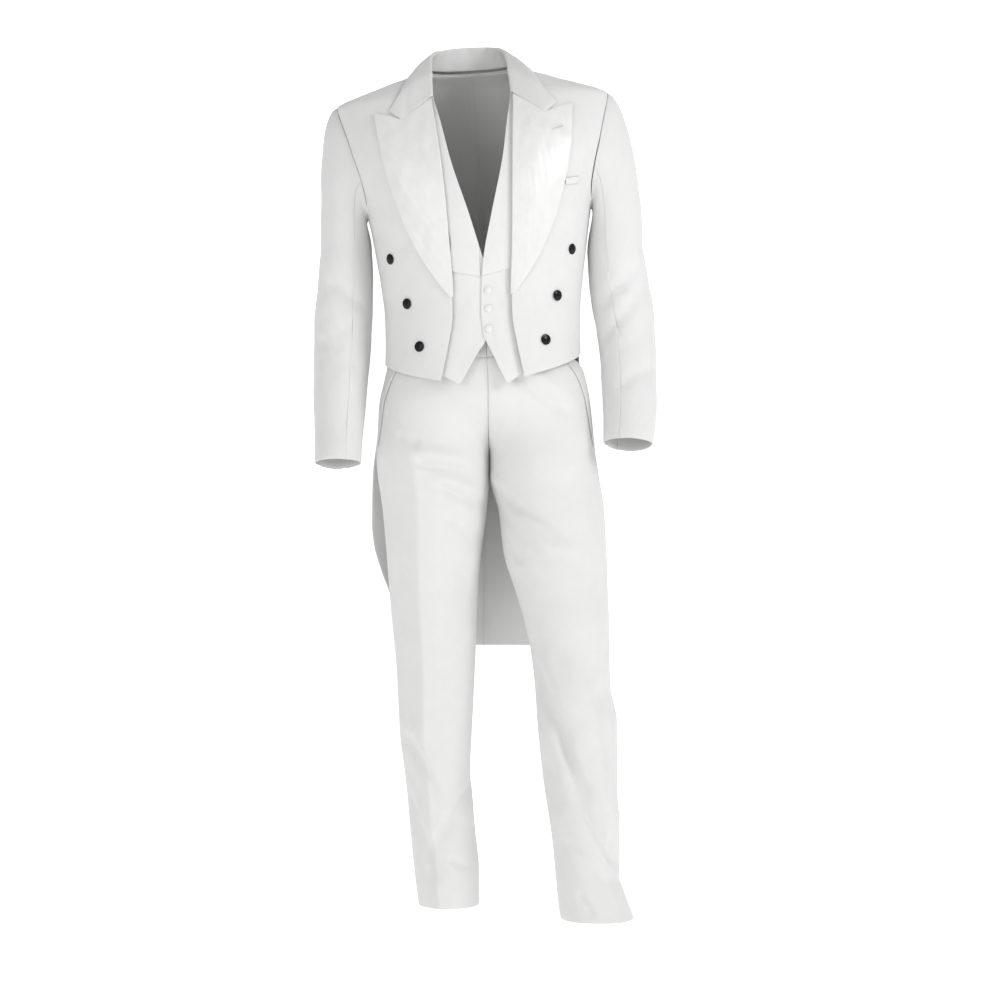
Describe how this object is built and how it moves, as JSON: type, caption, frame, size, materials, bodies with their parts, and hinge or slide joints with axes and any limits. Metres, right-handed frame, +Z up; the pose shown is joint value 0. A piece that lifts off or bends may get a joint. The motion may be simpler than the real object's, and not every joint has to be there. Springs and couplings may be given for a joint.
{
  "type": "peak lapel tailcoat suit",
  "caption": "White evening tail suit, worn and hollow: cutaway tailcoat with satin peak lapels, low-cut waistcoat and creased trousers, open at neck, cuffs and hems.",
  "frame": {"origin": "the middle of the neck, level with the inside of the collar, where a wearer carries the suit", "axes": "+Z up the body, -Y out of the suit's front, +X towards the suit's own left side"},
  "size_m": [0.6164, 0.358, 1.5603],
  "materials": {
    "suit_cloth": "matte fine wool barathea",
    "satin": "satin weave with a soft sheen",
    "waistcoat_cloth": "matte fine pique",
    "covered_button": "covered in the waistcoat's cloth",
    "black_button": "polished"
  },
  "bodies": {
    "root": {"coat_front_left": "suit_cloth", "coat_front_right": "suit_cloth", "coat_side_left": "suit_cloth", "coat_side_right": "suit_cloth", "coat_back_left": "suit_cloth", "coat_back_right": "suit_cloth", "coat_tail_left": "suit_cloth", "coat_tail_right": "suit_cloth", "top_sleeve_left": "suit_cloth", "top_sleeve_right": "suit_cloth", "under_sleeve_left": "suit_cloth", "under_sleeve_right": "suit_cloth", "collar": "suit_cloth", "lapel_left": "satin", "lapel_right": "satin", "breast_welt": "suit_cloth", "coat_button_1": "black_button", "coat_button_2": "black_button", "coat_button_3": "black_button", "coat_button_4": "black_button", "coat_button_5": "black_button", "coat_button_6": "black_button", "waistcoat_front_left": "waistcoat_cloth", "waistcoat_front_right": "waistcoat_cloth", "waistcoat_back_left": "waistcoat_cloth", "waistcoat_back_right": "waistcoat_cloth", "waistcoat_lapel_left": "waistcoat_cloth", "waistcoat_lapel_right": "waistcoat_cloth", "waistcoat_button_1": "covered_button", "waistcoat_button_2": "covered_button", "waistcoat_button_3": "covered_button", "trouser_front_left": "suit_cloth", "trouser_front_right": "suit_cloth", "trouser_back_left": "suit_cloth", "trouser_back_right": "suit_cloth", "waistband_left": "suit_cloth", "waistband_right": "suit_cloth", "trouser_pocket_left": "suit_cloth", "trouser_pocket_right": "suit_cloth"}
  },
  "joints": []
}
